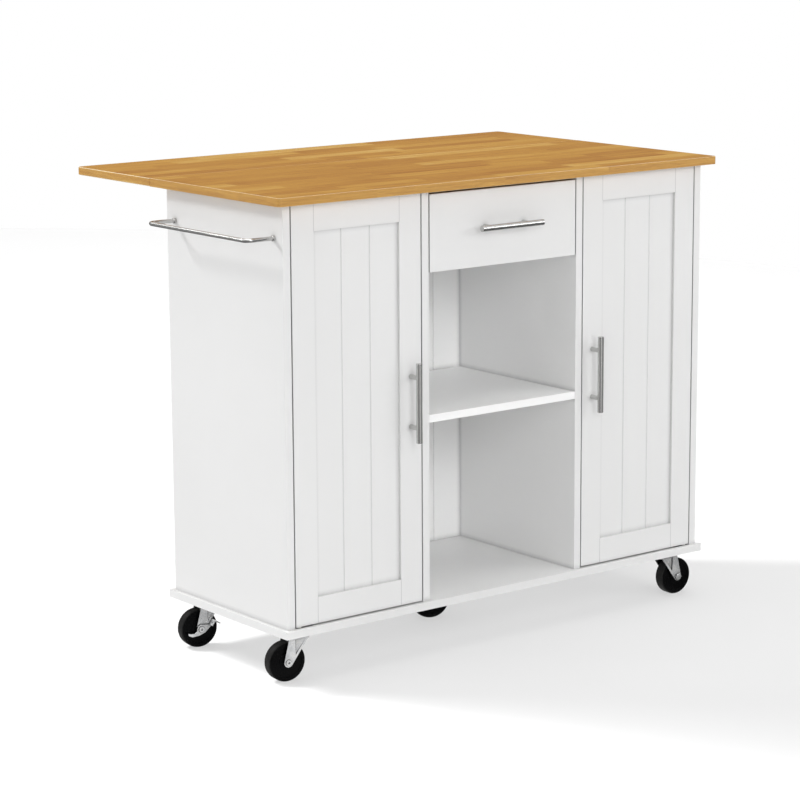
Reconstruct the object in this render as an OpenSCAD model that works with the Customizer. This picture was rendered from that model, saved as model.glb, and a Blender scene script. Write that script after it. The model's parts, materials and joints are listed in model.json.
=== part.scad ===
// Kitchen island cart: a white cabinet on five swivel casters, with a wooden
// worktop, a drop leaf along its back edge, two panelled doors, an open centre
// bay with a shelf and a drawer, and a towel bar on its left side.
// Units are millimetres, +X runs to the right of the front, +Y to the back, +Z up.
// The origin is on the floor, under the middle of the whole cart, leaf raised.

/* [Cabinet] */
// Width over the two side panels
cab_w = 1036; // [960:2:1100]
// Depth of the side panels
cab_d = 376; // [350:1:420]
// Thickness of the side panels, dividers and top rails
board_t = 16; // [15:0.5:18]
// Thickness of the grooved back panel
back_t = 15; // [12:0.5:16]
// Clear width of the open centre bay
bay_w = 368; // [340:2:400]
// Thickness of the base board and the shelves
shelf_t = 15; // [12:0.5:18]
// How far the base board stands out all round
base_lip = 9; // [4:0.5:12]
// Height of the underside of the base board, which is the height of a caster
base_z = 95; // [93:0.5:100]
// Height of the top of the fixed centre shelf
shelf_top_z = 472; // [430:1:500]
// Spacing of the V-grooves in the back panel
back_groove_pitch = 76.6; // [70:0.1:90]

/* [Worktop] */
// Height of the top surface above the floor
top_z = 914; // [900:1:930]
// Thickness of the worktop and the leaf
top_t = 16; // [14:0.5:20]
// Length of the worktop, left to right
top_w = 1082; // [1080:1:1120]
// How far the worktop stands out past the front and the back of the cabinet
top_lip = 24; // [20:0.5:28]
// Depth of the drop leaf
leaf_d = 262; // [240:1:280]
// Width of the seam between worktop and leaf
seam = 0.7; // [0.4:0.1:1.5]
// Radius of the four outer corners in plan
top_corner_r = 9; // [3:0.5:15]

/* [Doors] */
// Thickness of a door and of the drawer front
door_t = 18; // [18:0.5:20]
// Width of the stiles and rails
stile_w = 50; // [40:1:60]
// How far the door panel lies behind the frame's face
panel_recess = 5.5; // [3:0.5:6]
// Thickness of the door panel
panel_t = 9; // [6:0.5:9]
// Gap beside the doors and the drawer front
side_gap = 3; // [2.8:0.1:4]
// Gap above and below the doors
end_gap = 2.5; // [2.3:0.1:4]
// Distance of the pivot pins from the door's hinged edge
pivot_inset = 9; // [9:0.5:12]
// Distance of the pivot pins behind the door's face
pivot_depth = 6.5; // [6.5:0.1:7]

/* [Drawer] */
// Height of the lower edge of the drawer front
drawer_z = 744; // [720:1:770]
// Gap between the drawer front and the worktop
drawer_top_gap = 7; // [4:0.5:10]
// Length of the drawer box behind its front
drawer_len = 320; // [280:1:330]
// Height of the drawer box
drawer_h = 98; // [80:1:110]
// Thickness of the drawer sides and back
drawer_t = 12; // [10:0.5:14]

/* [Handles] */
// Length of a bar handle
handle_len = 152; // [130:1:180]
// Distance between a handle's two posts
handle_pitch = 96; // [76:1:110]
// Diameter of a handle's bar
handle_d = 12; // [9:0.5:14]
// Distance from a door's face to the bar's axis
handle_reach = 26; // [20:0.5:32]
// Height of the middle of the door handles
door_handle_z = 504; // [400:1:600]
// Height of the drawer handle
drawer_handle_z = 820; // [800:1:850]

/* [Towel bar] */
// Diameter of the towel bar's rod
towel_d = 8; // [6:0.5:12]
// Distance from the side panel to the rod's axis
towel_reach = 60; // [45:1:75]
// Length of the towel bar between its two feet
towel_len = 322; // [280:1:330]
// Height of the towel bar
towel_z = 836; // [780:1:860]

/* [Casters] */
// Diameter of the caster wheels
wheel_d = 76; // [70:0.5:76]
// Width of the caster wheels at the hub
wheel_w = 25; // [20:0.5:25]
// Distance of the wheel's axle from the swivel axis
trail = 24; // [22:0.5:26]
// Distance of the corner swivels from the side panels' outer faces
caster_inset_x = 47; // [45:1:60]
// Distance of the corner swivels from the cabinet's front and back
caster_inset_y = 42; // [40:1:60]

/* [Hidden] */
$fn = 48;

// Colours
paint = [0.94, 0.94, 0.94];
oak = [0.80, 0.58, 0.30];
steel = [0.72, 0.72, 0.71];
zinc = [0.66, 0.67, 0.68];
black = [0.07, 0.07, 0.07];
nylon = [0.85, 0.85, 0.82];

// Cabinet, measured from the middle of its width and from its front face
half_w = cab_w / 2;
inner_x = half_w - board_t;
bay_x = bay_w / 2;
divider_x = bay_x + board_t;
inner_d = cab_d - back_t;
floor_z = base_z + shelf_t;
top_under_z = top_z - top_t;
door_w = inner_x - divider_x - 2 * side_gap;
door_z = floor_z + end_gap;
door_h = top_under_z - end_gap - door_z;
groove_w = 3;
groove_depth = 2;
overlap = 1;

// Pins that carry the adjustable shelves
shelf_pin_r = 2.5;
shelf_pin_len = 10;
shelf_pin_hole = 8;
shelf_pin_y = [60, 310];
shelf_side_gap = 1;
shelf_front_y = 30;
shelf_back_gap = 3;
side_shelf_z = 470;
pin_rows = [-64, -32, 0, 32, 64];

// Rails that tie the boards under the worktop
rail_d = 70;
rail_front_y = 30;

// The worktop's back edge, the seam and the leaf's hinge line below it
top_back_y = cab_d + top_lip;
leaf_front_y = top_back_y + seam;
hinge_y = top_back_y + seam / 2;
hinge_drop = 3;
hinge_z = top_under_z - hinge_drop;
barrel_r = 2.8;
hinge_pin_r = 1.4;
hinge_w = 60;
hinge_flap = 32;
hinge_plate_flap = top_lip;
hinge_t = 1.5;
hinge_step = 0.6;
hinge_overlap = 0.4;
hinge_strip_drop = 0.2;
hinge_hole_r = 1.8;
knuckle_gap = 0.2;
knuckles = 5;
hinge_x = [-420, 0, 420];

// Braces under the leaf: wall pivot, leaf pivot and the elbow between them
brace_x = [-330, 330];
brace_wall_y = hinge_y - 14;
brace_wall_z = hinge_z - 151;
brace_leaf_y = hinge_y + 115;
brace_leaf_z = hinge_z - 8;
lower_len = 116.5;
upper_len = 81;
link_t = 3;
link_gap = 0.4;
link_r = 6;
link_pin_r = 2.5;
link_fit = 0.05;
rivet_r = 4.5;
rivet_t = 1.2;
bracket_w = 34;
bracket_t = 2;
bracket_half = 30;
rivet_root = 0.5;
brace_span = norm([brace_leaf_y - brace_wall_y, brace_leaf_z - brace_wall_z]);
brace_slope = atan2(brace_leaf_z - brace_wall_z, brace_leaf_y - brace_wall_y);
elbow_cos = (lower_len * lower_len + brace_span * brace_span - upper_len * upper_len)
    / (2 * lower_len * brace_span);
lower_angle = brace_slope + acos(elbow_cos);
elbow_y = brace_wall_y + lower_len * cos(lower_angle);
elbow_z = brace_wall_z + lower_len * sin(lower_angle);

// Door pivots: a steel plate and pin above and below, a nylon bush in the door
pivot_pin_r = 2.5;
pivot_fit = 0.05;
pivot_pin_len = 13;
bush_r = 4.5;
bush_len = 14;
bush_flange_r = 5.5;
bush_air = 0.2;
pivot_plate = [38, 14, 1.6];
pivot_plate_shift = 2;

// Posts of the bar handles
handle_post_r = 4.5;

// Catches under the top rails and their strike plates on the doors
catch_size = [42, 26, 12];
strike_size = [34, 1.2, 14];
strike_drop = 30;
catch_air = 0.4;
screw_r = 2;
screw_head_r = 3.6;
screw_head_t = 1.8;

// Drawer: side-mounted slides fill the gap beside the box
slide_space = 13;
slide_h = 36;
slide_web = 1.2;
slide_flange = 10;
slide_air = 2;
slide_z = drawer_z + 58;
slide_len = 316;
slide_front_y = door_t + 4;
box_x = bay_x - slide_space;
box_z = drawer_z + 20;
bottom_t = 4;
bottom_groove = 5;
bottom_z = box_z + 8;

// Casters
wheel_r = wheel_d / 2;
plate_size = 60;
plate_t = 2.5;
race_r = 20;
race_t = 3;
race_air = 0.4;
king_r = 4;
king_head_r = 7;
king_head_t = 2;
crown_t = 3.4;
crown_disc_t = 5;
fork_back = 20;
fork_front = 22;
leg_t = 2.5;
leg_air = 1.5;
leg_foot_r = 9;
axle_r = 4;
axle_fit = 0.05;
axle_head_r = 5.6;
axle_head_t = 2;
axle_nut_r = 7;
axle_nut_t = 4;
socket_r = 2.6;
socket_depth = 1.5;
leg_y = wheel_w / 2 + leg_air;
race_z = base_z - plate_t - race_t;
crown_top_z = race_z - race_air;
crown_z = crown_top_z - crown_disc_t;
crown_under_z = crown_z - crown_t;
lever_t = 2.5;
lever_air = 0.4;
lever_y = leg_y + leg_t + lever_air;
lever_hub_r = 9;
plate_hole_pitch = 44;
screw_len = 13;
screw_fit = 0.05;

// Where each caster stands and which way its wheel trails
corner_x = half_w - caster_inset_x;
back_caster_y = cab_d - caster_inset_y;
front_left_at = [-corner_x, caster_inset_y];
front_right_at = [corner_x, caster_inset_y];
back_left_at = [-corner_x, back_caster_y];
back_right_at = [corner_x, back_caster_y];
centre_at = [8, 205];
caster_places = [front_left_at, front_right_at, back_left_at, back_right_at, centre_at];
front_left_turn = -8;
front_right_turn = 177;
back_left_turn = -9;
back_right_turn = -15;
centre_turn = -30;

// Box of the whole cart, which sets the origin
box_left = -half_w - towel_reach - towel_d / 2;
box_right = top_w / 2;
box_front = -handle_reach - handle_d / 2;
box_back = leaf_front_y + leaf_d;
origin_x = (box_left + box_right) / 2;
origin_y = (box_front + box_back) / 2;

// Moves cabinet coordinates to the cart's origin
module cart() {
    translate([-origin_x, -origin_y, 0]) children();
}

// A board between two opposite corners
module board(low, high) {
    translate(low) cube(high - low);
}

// A rod between two points on a line parallel to an axis
module rod_x(at, length, r) {
    translate(at) rotate([0, 90, 0]) cylinder(h = length, r = r);
}

module rod_y(at, length, r) {
    translate(at) rotate([-90, 0, 0]) cylinder(h = length, r = r);
}

// A vertical V-shaped channel, cut into a face that looks towards -Y
module v_groove(x, face_y, low_z, high_z) {
    translate([x, face_y, low_z])
        linear_extrude(height = high_z - low_z)
            polygon([[-groove_w / 2, -0.01], [groove_w / 2, -0.01], [0, groove_depth]]);
}

// A slab whose corners are rounded on its front or on its back only
module rounded_slab(low_y, high_y, round_front) {
    r = top_corner_r;
    x = top_w / 2;
    inner_low = round_front ? low_y + r : low_y;
    inner_high = round_front ? high_y : high_y - r;
    arc_y = round_front ? low_y + r : high_y - r;
    translate([0, 0, top_under_z]) linear_extrude(height = top_t) union() {
        translate([-x, inner_low]) square([2 * x, inner_high - inner_low]);
        translate([-x + r, low_y]) square([2 * (x - r), high_y - low_y]);
        for (side = [-1, 1]) translate([side * (x - r), arc_y]) circle(r = r);
    }
}

// ---------- Cabinet ----------

module base_board() {
    color(paint) cart() difference() {
        board([-half_w - base_lip, -base_lip, base_z], [half_w + base_lip, cab_d + base_lip, floor_z]);
        for (side = [-1, 1]) pivot_plate_at(side, floor_z - pivot_plate[2], pivot_plate[2] + overlap);
        for (place = caster_places) caster_screw_holes(place);
    }
}

// Rows of blind holes for shelf pins, drilled into a board's face at x
module pin_holes(x, direction) {
    for (y = shelf_pin_y) for (row = pin_rows) {
        start = direction > 0 ? x : x - shelf_pin_hole;
        rod_x([start, y, side_shelf_z + row - shelf_pin_r], shelf_pin_hole, shelf_pin_r);
    }
}

module side_panel(side) {
    low_x = side > 0 ? inner_x : -half_w;
    difference() {
        board([low_x, 0, floor_z], [low_x + board_t, cab_d, top_under_z]);
        pin_holes(side * inner_x, side);
        if (side < 0) towel_screw_line(screw_r, -half_w - overlap, board_t + 2 * overlap);
    }
}

module side_panel_left() {
    color(paint) cart() side_panel(-1);
}

module side_panel_right() {
    color(paint) cart() side_panel(1);
}

module divider(side) {
    low_x = side > 0 ? bay_x : -divider_x;
    difference() {
        board([low_x, 0, floor_z], [low_x + board_t, inner_d, top_under_z]);
        pin_holes(side * divider_x, -side);
    }
}

module divider_left() {
    color(paint) cart() divider(-1);
}

module divider_right() {
    color(paint) cart() divider(1);
}

module back_panel() {
    grooves = floor(inner_x / back_groove_pitch - 0.5);
    color(paint) cart() difference() {
        board([-inner_x, inner_d, floor_z], [inner_x, cab_d, top_under_z]);
        for (side = [-1, 1]) for (i = [0 : grooves])
            v_groove(side * (i + 0.5) * back_groove_pitch, inner_d, floor_z - overlap, top_under_z + overlap);
    }
}

module centre_shelf() {
    color(paint) cart() board([-bay_x, 0, shelf_top_z - shelf_t], [bay_x, inner_d, shelf_top_z]);
}

module cabinet_shelf(side) {
    near = divider_x + shelf_side_gap;
    far = inner_x - shelf_side_gap;
    low_x = side > 0 ? near : -far;
    back_y = inner_d - shelf_back_gap;
    board([low_x, shelf_front_y, side_shelf_z], [low_x + far - near, back_y, side_shelf_z + shelf_t]);
}

module cabinet_shelf_left() {
    color(paint) cart() cabinet_shelf(-1);
}

module cabinet_shelf_right() {
    color(paint) cart() cabinet_shelf(1);
}

module shelf_pins() {
    length = shelf_pin_hole + shelf_pin_len;
    z = side_shelf_z - shelf_pin_r;
    color(steel) cart() for (side = [-1, 1]) for (y = shelf_pin_y) {
        outer = side > 0 ? inner_x - shelf_pin_len : -inner_x - shelf_pin_hole;
        inner = side > 0 ? divider_x - shelf_pin_hole : -divider_x - shelf_pin_len;
        rod_x([outer, y, z], length, shelf_pin_r);
        rod_x([inner, y, z], length, shelf_pin_r);
    }
}

module top_rails() {
    low_z = top_under_z - board_t;
    back_y = inner_d - rail_d;
    color(paint) cart() {
        for (side = [-1, 1]) for (y = [rail_front_y, back_y]) {
            low_x = side > 0 ? divider_x : -inner_x;
            board([low_x, y, low_z], [low_x + inner_x - divider_x, y + rail_d, top_under_z]);
        }
        board([-bay_x, back_y, low_z], [bay_x, inner_d, top_under_z]);
    }
}

// ---------- Worktop and drop leaf ----------

module worktop() {
    color(oak) cart() difference() {
        rounded_slab(-top_lip, top_back_y, true);
        for (side = [-1, 1]) pivot_plate_at(side, top_under_z - overlap, pivot_plate[2] + overlap);
    }
}

module drop_leaf() {
    color(oak) cart() rounded_slab(leaf_front_y, leaf_front_y + leaf_d, false);
}

// One knuckle of a leaf hinge, counted from its left end
module knuckle(x, index) {
    pitch = hinge_w / knuckles;
    length = pitch - knuckle_gap;
    rod_x([x - hinge_w / 2 + index * pitch + knuckle_gap / 2, hinge_y, hinge_z], length, barrel_r);
}

// Strip of a hinge plate that reaches a knuckle
module knuckle_strip(x, index, direction) {
    pitch = hinge_w / knuckles;
    low_x = x - hinge_w / 2 + index * pitch + knuckle_gap / 2;
    reach = barrel_r + hinge_step + hinge_overlap;
    low_y = direction > 0 ? hinge_y : hinge_y - reach;
    low_z = top_under_z - hinge_t;
    high_z = top_under_z - hinge_strip_drop;
    board([low_x, low_y, low_z], [low_x + pitch - knuckle_gap, low_y + reach, high_z]);
}

// Flat part of a hinge plate, screwed under a board
module hinge_flat(x, direction, flap) {
    reach = barrel_r + hinge_step;
    low_y = direction > 0 ? hinge_y + reach : hinge_y - flap;
    low_z = top_under_z - hinge_t;
    hole_y = low_y + (flap - reach) / 2;
    difference() {
        board([x - hinge_w / 2, low_y, low_z], [x + hinge_w / 2, low_y + flap - reach, top_under_z]);
        for (side = [-1, 1])
            translate([x + side * hinge_w / 3, hole_y, low_z - overlap])
                cylinder(h = hinge_t + 2 * overlap, r = hinge_hole_r);
    }
}

module leaf_hinge_plates() {
    color(zinc) cart() for (x = hinge_x) {
        difference() {
            union() {
                hinge_flat(x, -1, hinge_plate_flap);
                for (index = [0, 2, 4]) knuckle_strip(x, index, -1);
                for (index = [0, 2, 4]) knuckle(x, index);
            }
            rod_x([x - hinge_w / 2 - overlap, hinge_y, hinge_z], hinge_w + 2 * overlap, hinge_pin_r);
        }
        rod_x([x - hinge_w / 2, hinge_y, hinge_z], hinge_w, hinge_pin_r);
    }
}

module leaf_hinge_flaps() {
    color(zinc) cart() for (x = hinge_x) difference() {
        union() {
            hinge_flat(x, 1, hinge_flap);
            for (index = [1, 3]) knuckle_strip(x, index, 1);
            for (index = [1, 3]) knuckle(x, index);
        }
        rod_x([x - hinge_w / 2 - overlap, hinge_y, hinge_z], hinge_w + 2 * overlap, hinge_pin_r + 0.05);
    }
}

// A flat link between two points of the YZ plane, starting at x
module link(x, from_y, from_z, to_y, to_z) {
    length = norm([to_y - from_y, to_z - from_z]);
    slope = atan2(to_z - from_z, to_y - from_y);
    translate([x, from_y, from_z]) rotate([slope, 0, 0]) {
        translate([0, 0, -link_r]) cube([link_t, length, 2 * link_r]);
        for (y = [0, length]) rod_x([0, y, 0], link_t, link_r);
    }
}

// An ear that stands off a bracket plate and carries a link's pin
module brace_ear(x, y, z) {
    rod_x([x, y, z], link_t, link_r);
}

module brace_wall_brackets() {
    head_air = 0.2;
    pin_len = 2 * link_t + link_gap + head_air;
    color(zinc) cart() for (x = brace_x) {
        ear_x = x - link_t - link_gap;
        board([x - bracket_w / 2, cab_d, brace_wall_z - bracket_half],
            [x + bracket_w / 2, cab_d + bracket_t, brace_wall_z + bracket_half]);
        brace_ear(ear_x, brace_wall_y, brace_wall_z);
        board([ear_x, cab_d + bracket_t, brace_wall_z - link_r],
            [ear_x + link_t, brace_wall_y, brace_wall_z + link_r]);
        rod_x([ear_x, brace_wall_y, brace_wall_z], pin_len, link_pin_r);
        rod_x([ear_x + pin_len, brace_wall_y, brace_wall_z], rivet_t, rivet_r);
    }
}

module brace_lower_links() {
    color(zinc) cart() for (x = brace_x) difference() {
        union() {
            link(x, brace_wall_y, brace_wall_z, elbow_y, elbow_z);
            rod_x([x - rivet_t, elbow_y, elbow_z], rivet_t + rivet_root, rivet_r);
        }
        rod_x([x - overlap, brace_wall_y, brace_wall_z], link_t + 2 * overlap, link_pin_r + link_fit);
    }
}

module brace_upper_links() {
    color(zinc) cart() for (x = brace_x) {
        start = x + link_t + link_gap;
        difference() {
            union() {
                link(start, elbow_y, elbow_z, brace_leaf_y, brace_leaf_z);
                rod_x([start + link_t - rivet_root, elbow_y, elbow_z], rivet_t + rivet_root, rivet_r);
            }
            rod_x([start - overlap, brace_leaf_y, brace_leaf_z], link_t + 2 * overlap, link_pin_r + link_fit);
        }
    }
}

module brace_leaf_brackets() {
    plate_z = top_under_z - bracket_t;
    color(zinc) cart() for (x = brace_x) {
        ear_x = x + 2 * (link_t + link_gap);
        board([x - bracket_w / 2, brace_leaf_y - bracket_half, plate_z],
            [x + bracket_w / 2, brace_leaf_y + bracket_half, top_under_z]);
        brace_ear(ear_x, brace_leaf_y, brace_leaf_z);
        board([ear_x, brace_leaf_y - link_r, brace_leaf_z], [ear_x + link_t, brace_leaf_y + link_r, plate_z]);
        rod_x([x + link_t + link_gap, brace_leaf_y, brace_leaf_z], 2 * link_t + link_gap, link_pin_r);
    }
}

// ---------- Towel bar ----------

// Everything that is centred on the towel bar's two feet
module towel_screw_line(r, start_x, length) {
    for (end = [-1, 1]) rod_x([start_x, cab_d / 2 + end * towel_len / 2, towel_z], length, r);
}

module towel_bar() {
    bend_r = 14;
    collar_r = towel_d / 2 + 1.3;
    collar_t = 4;
    r = towel_d / 2;
    rod_len = towel_len - 2 * bend_r;
    leg_len = towel_reach - bend_r;
    color(steel) cart() {
        towel_screw_line(r, -half_w - leg_len, leg_len);
        towel_screw_line(collar_r, -half_w - collar_t, collar_t);
        rod_y([-half_w - towel_reach, cab_d / 2 - rod_len / 2, towel_z], rod_len, r);
        for (end = [-1, 1])
            translate([-half_w - leg_len, cab_d / 2 + end * rod_len / 2, towel_z])
                mirror([0, end < 0 ? 1 : 0, 0]) rotate([0, 0, 90])
                    rotate_extrude(angle = 90) translate([bend_r, 0]) circle(r = r);
    }
}

module towel_bar_screws() {
    color(zinc) cart() {
        towel_screw_line(screw_r, -half_w, board_t);
        towel_screw_line(screw_head_r, -inner_x, screw_head_t);
    }
}

// ---------- Doors ----------

// Low X of a door and the X of its pivot axis and handle
function door_x(side) = side > 0 ? divider_x + side_gap : -inner_x + side_gap;
function pivot_x(side) = side * (inner_x - side_gap - pivot_inset);
function handle_x(side) = side * (divider_x + side_gap + stile_w / 2);

// Block of a door pivot's plate, from height z, as high as given
module pivot_plate_at(side, z, height) {
    plate_x = pivot_x(side) - side * (pivot_plate[0] / 2 - pivot_inset + pivot_plate_shift);
    translate([plate_x - pivot_plate[0] / 2, pivot_depth - pivot_plate[1] / 2 + 1, z])
        cube([pivot_plate[0], pivot_plate[1], height]);
}

module door_pivot_plates() {
    color(zinc) cart() for (side = [-1, 1]) {
        pivot_plate_at(side, floor_z - pivot_plate[2], pivot_plate[2]);
        pivot_plate_at(side, top_under_z, pivot_plate[2]);
        translate([pivot_x(side), pivot_depth, floor_z]) cylinder(h = pivot_pin_len, r = pivot_pin_r);
        translate([pivot_x(side), pivot_depth, top_under_z - pivot_pin_len])
            cylinder(h = pivot_pin_len, r = pivot_pin_r);
    }
}

// Bores for the bushes and the handle screws
module door_bores(side) {
    for (z = [door_z - overlap, door_z + door_h - bush_len])
        translate([pivot_x(side), pivot_depth, z]) cylinder(h = bush_len + overlap, r = bush_r);
    for (end = [-1, 1]) {
        z = door_handle_z + end * handle_pitch / 2;
        rod_y([handle_x(side), -overlap, z], door_t + 2 * overlap, screw_r);
    }
}

module door_frame(side) {
    x = door_x(side);
    tongue = 6;
    difference() {
        for (piece = [
            [[x, 0, door_z], [stile_w, door_t, door_h]],
            [[x + door_w - stile_w, 0, door_z], [stile_w, door_t, door_h]],
            [[x + stile_w, 0, door_z], [door_w - 2 * stile_w, door_t, stile_w]],
            [[x + stile_w, 0, door_z + door_h - stile_w], [door_w - 2 * stile_w, door_t, stile_w]]
        ]) translate(piece[0]) cube(piece[1]);
        translate([x + stile_w - tongue, panel_recess, door_z + stile_w - tongue])
            cube([door_w - 2 * (stile_w - tongue), panel_t, door_h - 2 * (stile_w - tongue)]);
        door_bores(side);
    }
}

module door_panel(side) {
    x = door_x(side);
    tongue = 6;
    open_w = door_w - 2 * stile_w;
    difference() {
        translate([x + stile_w - tongue, panel_recess, door_z + stile_w - tongue])
            cube([open_w + 2 * tongue, panel_t, door_h - 2 * (stile_w - tongue)]);
        for (third = [1, 2])
            v_groove(x + stile_w + open_w * third / 3, panel_recess, door_z, door_z + door_h);
    }
}

// A bar handle on two posts, its bar along Z, its posts reaching back to Y = 0
module bar_handle() {
    translate([0, -handle_reach, -handle_len / 2]) cylinder(h = handle_len, r = handle_d / 2);
    for (end = [-1, 1])
        rod_y([0, -handle_reach, end * handle_pitch / 2], handle_reach, handle_post_r);
}

// Bushes, strike plate and handle screws of one door
module door_fittings(side) {
    bores = door_z + door_h - bush_len;
    difference() {
        union() {
            translate([pivot_x(side), pivot_depth, door_z]) cylinder(h = bush_len, r = bush_r);
            translate([pivot_x(side), pivot_depth, floor_z + bush_air])
                cylinder(h = end_gap - bush_air, r = bush_flange_r);
            translate([pivot_x(side), pivot_depth, bores]) cylinder(h = bush_len, r = bush_r);
        }
        translate([pivot_x(side), pivot_depth, floor_z])
            cylinder(h = door_h + 2 * end_gap, r = pivot_pin_r + pivot_fit);
    }
    translate([handle_x(side) - strike_size[0] / 2, door_t, door_z + door_h - strike_drop])
        cube(strike_size);
    for (end = [-1, 1]) {
        z = door_handle_z + end * handle_pitch / 2;
        rod_y([handle_x(side), 0, z], door_t, screw_r);
        rod_y([handle_x(side), door_t, z], screw_head_t, screw_head_r);
    }
}

module magnetic_catches() {
    color(black) cart() for (side = [-1, 1])
        translate([
            handle_x(side) - catch_size[0] / 2,
            door_t + strike_size[1] + catch_air,
            top_under_z - board_t - catch_size[2]
        ]) cube([catch_size[0], catch_size[1] + rail_front_y - door_t, catch_size[2]]);
}

module left_door_frame() {
    color(paint) cart() door_frame(-1);
}

module left_door_panel() {
    color(paint) cart() door_panel(-1);
}

module left_door_handle() {
    color(steel) cart() translate([handle_x(-1), 0, door_handle_z]) bar_handle();
}

module left_door_fittings() {
    color(nylon) cart() door_fittings(-1);
}

module right_door_frame() {
    color(paint) cart() door_frame(1);
}

module right_door_panel() {
    color(paint) cart() door_panel(1);
}

module right_door_handle() {
    color(steel) cart() translate([handle_x(1), 0, door_handle_z]) bar_handle();
}

module right_door_fittings() {
    color(nylon) cart() door_fittings(1);
}

// ---------- Drawer ----------

module drawer_front() {
    width = bay_w - 2 * side_gap;
    color(paint) cart() difference() {
        board([-width / 2, 0, drawer_z], [width / 2, door_t, top_under_z - drawer_top_gap]);
        board([-box_x + drawer_t - bottom_groove, door_t - bottom_groove, bottom_z],
            [box_x - drawer_t + bottom_groove, door_t + overlap, bottom_z + bottom_t]);
        for (end = [-1, 1])
            rod_y([end * handle_pitch / 2, -overlap, drawer_handle_z], door_t + 2 * overlap, screw_r);
    }
}

module drawer_sides() {
    low_y = door_t;
    color(paint) cart() for (side = [-1, 1]) {
        low_x = side > 0 ? box_x - drawer_t : -box_x;
        difference() {
            board([low_x, low_y, box_z], [low_x + drawer_t, low_y + drawer_len, box_z + drawer_h]);
            board([-box_x + drawer_t - bottom_groove, low_y - overlap, bottom_z],
                [box_x - drawer_t + bottom_groove, low_y + drawer_len + overlap, bottom_z + bottom_t]);
        }
    }
}

module drawer_back() {
    high_y = door_t + drawer_len;
    x = box_x - drawer_t;
    color(paint) cart() board([-x, high_y - drawer_t, bottom_z + bottom_t], [x, high_y, box_z + drawer_h]);
}

module drawer_bottom() {
    x = box_x - drawer_t + bottom_groove;
    color(paint) cart()
        board([-x, door_t - bottom_groove, bottom_z], [x, door_t + drawer_len, bottom_z + bottom_t]);
}

module drawer_handle() {
    color(steel) cart() {
        translate([0, 0, drawer_handle_z]) rotate([0, 90, 0]) bar_handle();
        for (end = [-1, 1]) {
            rod_y([end * handle_pitch / 2, 0, drawer_handle_z], door_t, screw_r);
            rod_y([end * handle_pitch / 2, door_t, drawer_handle_z], screw_head_t, screw_head_r);
        }
    }
}

// A channel along Y whose web stands at x; side says which way its flanges point
module channel(x, side, low_z, height, flange) {
    web_x = side > 0 ? x : x - slide_web;
    flange_x = side > 0 ? x : x - flange;
    board([web_x, slide_front_y, low_z], [web_x + slide_web, slide_front_y + slide_len, low_z + height]);
    for (z = [low_z, low_z + height - slide_web])
        board([flange_x, slide_front_y, z], [flange_x + flange, slide_front_y + slide_len, z + slide_web]);
}

module drawer_slide_rails() {
    color(zinc) cart() for (side = [-1, 1])
        channel(side * bay_x, -side, slide_z, slide_h, slide_flange);
}

module drawer_runners() {
    inset = slide_web + slide_air;
    color(zinc) cart() for (side = [-1, 1])
        channel(side * box_x, side, slide_z + inset, slide_h - 2 * inset, slide_flange);
}

// ---------- Casters ----------

// Places a caster's parts: swivel axis on Z, wheel trailing along -X
module caster(place, turn) {
    translate([place[0], place[1], 0]) rotate([0, 0, turn]) children();
}

// The four screws of one caster plate
module caster_screw_pattern(place) {
    for (dx = [-1, 1]) for (dy = [-1, 1])
        translate([place[0] + dx * plate_hole_pitch / 2, place[1] + dy * plate_hole_pitch / 2, 0]) children();
}

module caster_screw_holes(place) {
    caster_screw_pattern(place)
        translate([0, 0, base_z - overlap]) cylinder(h = screw_len - plate_t + overlap, r = screw_r);
}

module caster_plates() {
    color(zinc) cart() for (place = caster_places) {
        difference() {
            translate([place[0] - plate_size / 2, place[1] - plate_size / 2, base_z - plate_t])
                cube([plate_size, plate_size, plate_t]);
            caster_screw_pattern(place)
                translate([0, 0, base_z - plate_t - overlap])
                    cylinder(h = plate_t + 2 * overlap, r = screw_r + screw_fit);
        }
        translate([place[0], place[1], race_z]) cylinder(h = race_t, r = race_r);
        translate([place[0], place[1], crown_under_z - race_air])
            cylinder(h = race_z - crown_under_z + race_air, r = king_r);
        translate([place[0], place[1], crown_under_z - race_air - king_head_t])
            cylinder(h = king_head_t, r = king_head_r);
    }
}

module caster_screws() {
    color(zinc) cart() for (place = caster_places) caster_screw_pattern(place) {
        translate([0, 0, base_z - plate_t]) cylinder(h = screw_len, r = screw_r);
        translate([0, 0, base_z - plate_t - screw_head_t]) cylinder(h = screw_head_t, r = screw_head_r);
    }
}

// Point where a line from p touches the circle of radius r about c
function tangent(c, p, r, side) =
    let (d = norm(p - c), a = acos(r / d), b = atan2(p[1] - c[1], p[0] - c[0]))
    [c[0] + r * cos(b + side * a), c[1] + r * sin(b + side * a)];

// Triangular web pressed into a fork leg's outer face: deepest beside the leg's strip
module leg_web() {
    web = [[-10.5, crown_z - 2], [14, crown_z - 2], [-9, wheel_r + 13]];
    web_tilt = 4.5;
    deepest = 1.9;
    intersection() {
        translate([0, 0, leg_t - deepest]) linear_extrude(height = deepest + overlap) polygon(web);
        translate([web[0][0], 0, leg_t - deepest]) rotate([0, -web_tilt, 0])
            translate([-overlap, 0, 0]) cube([4 * trail, base_z, leg_t]);
    }
}

// One side plate of a fork, drawn in the XZ plane
module fork_leg() {
    axle = [-trail, wheel_r];
    left = [-fork_front, crown_z];
    right = [fork_back, crown_z];
    foot_left = tangent(axle, left, leg_foot_r, 1);
    foot_right = tangent(axle, right, leg_foot_r, -1);
    rotate([90, 0, 0]) difference() {
        linear_extrude(height = leg_t) difference() {
            union() {
                polygon([left, foot_left, axle, foot_right, right]);
                translate(axle) circle(r = leg_foot_r);
            }
            translate(axle) circle(r = axle_r + axle_fit);
        }
        leg_web();
    }
}

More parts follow.
